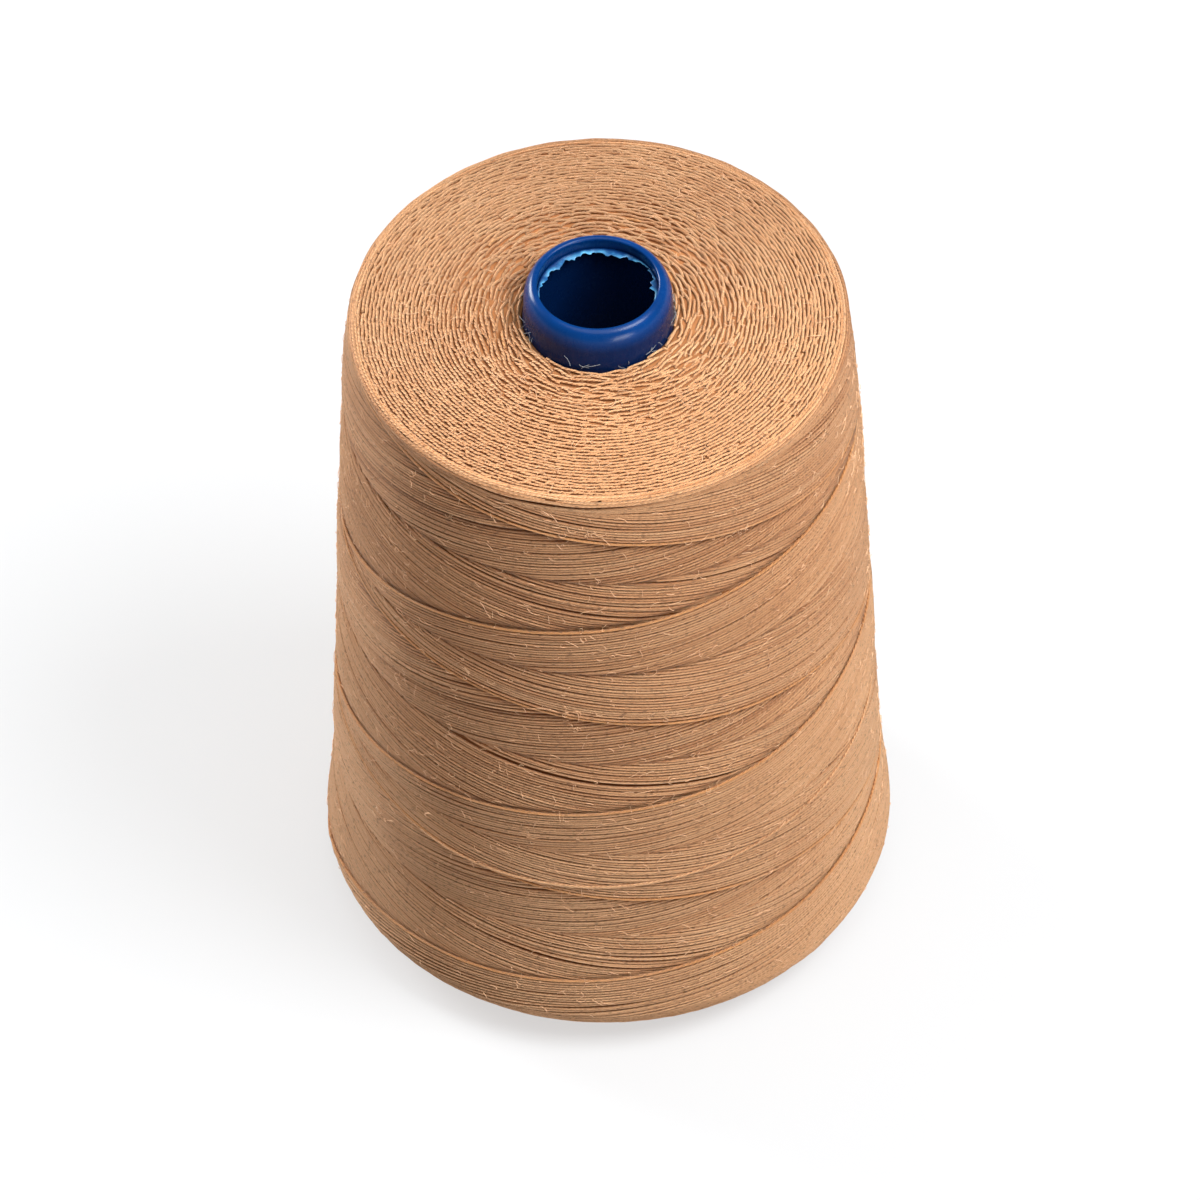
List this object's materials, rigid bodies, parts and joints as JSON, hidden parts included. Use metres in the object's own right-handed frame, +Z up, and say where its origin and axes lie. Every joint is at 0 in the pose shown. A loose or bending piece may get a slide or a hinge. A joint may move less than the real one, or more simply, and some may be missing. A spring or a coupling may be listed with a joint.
{
  "type": "cone of heavy duty thread",
  "caption": "Full cone of tan heavy duty thread, wound crosswise in ribbons on a hollow blue plastic core whose round lip stands out at the top.",
  "frame": {"origin": "centre of the core's base ring, on the surface the cone stands on", "axes": "+Z up along the cone's axis; -Y towards the viewer of the picture"},
  "size_m": [0.1188, 0.1185, 0.17],
  "materials": {
    "tan_thread": "spun thread, soft sheen, slightly fuzzy",
    "blue_plastic": "satin gloss, lightly scratched",
    "blue_film": "thin torn film"
  },
  "bodies": {
    "root": {"thread_package": "tan_thread", "cone_core": "blue_plastic", "torn_seal": "blue_film"}
  },
  "joints": []
}
